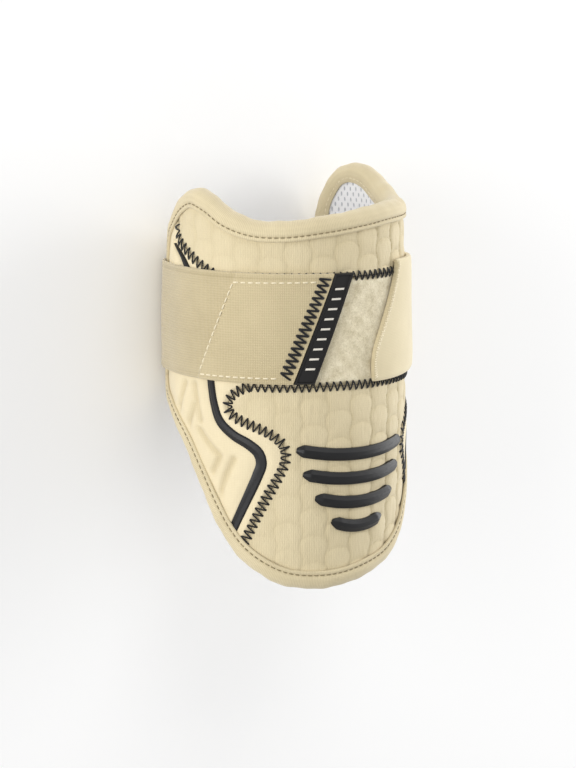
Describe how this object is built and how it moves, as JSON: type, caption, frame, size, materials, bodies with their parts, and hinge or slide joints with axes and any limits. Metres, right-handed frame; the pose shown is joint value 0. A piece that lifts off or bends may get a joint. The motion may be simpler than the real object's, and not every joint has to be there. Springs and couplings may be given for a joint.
{
  "type": "baseball elbow guard",
  "caption": "Padded elbow guard, a curved wall of quilted and smooth panels with a bound rim and an elastic strap that closes it on the arm.",
  "frame": {"origin": "bottom centre of the bounding box, on the outer face of the strap across the open back", "axes": "+Y towards the end worn nearer the shoulder, +Z away from the arm at the front of the guard, X across"},
  "size_m": [0.1184, 0.1912, 0.0955],
  "materials": {
    "quilted_cloth": "cream knitted cloth, quilted",
    "smooth_cloth": "cream smooth cloth",
    "binding_cloth": "cream folded binding",
    "strap_elastic": "cream woven elastic",
    "loop_pile": "cream brushed loop cloth",
    "lining_mesh": "white perforated knit",
    "black_rubber": "black satin rubber"
  },
  "bodies": {
    "root": {"upper_quilted_panel": "quilted_cloth", "lower_quilted_panel": "quilted_cloth", "loop_panel": "loop_pile", "side_panel_left": "smooth_cloth", "side_panel_right": "smooth_cloth", "side_inlay_left": "black_rubber", "side_inlay_right": "black_rubber", "mesh_lining": "lining_mesh", "edge_binding": "binding_cloth", "elastic_strap": "strap_elastic", "hook_tab": "smooth_cloth", "rubber_label": "black_rubber", "grip_rib_1": "black_rubber", "grip_rib_2": "black_rubber", "grip_rib_3": "black_rubber", "grip_rib_4": "black_rubber"}
  },
  "joints": []
}
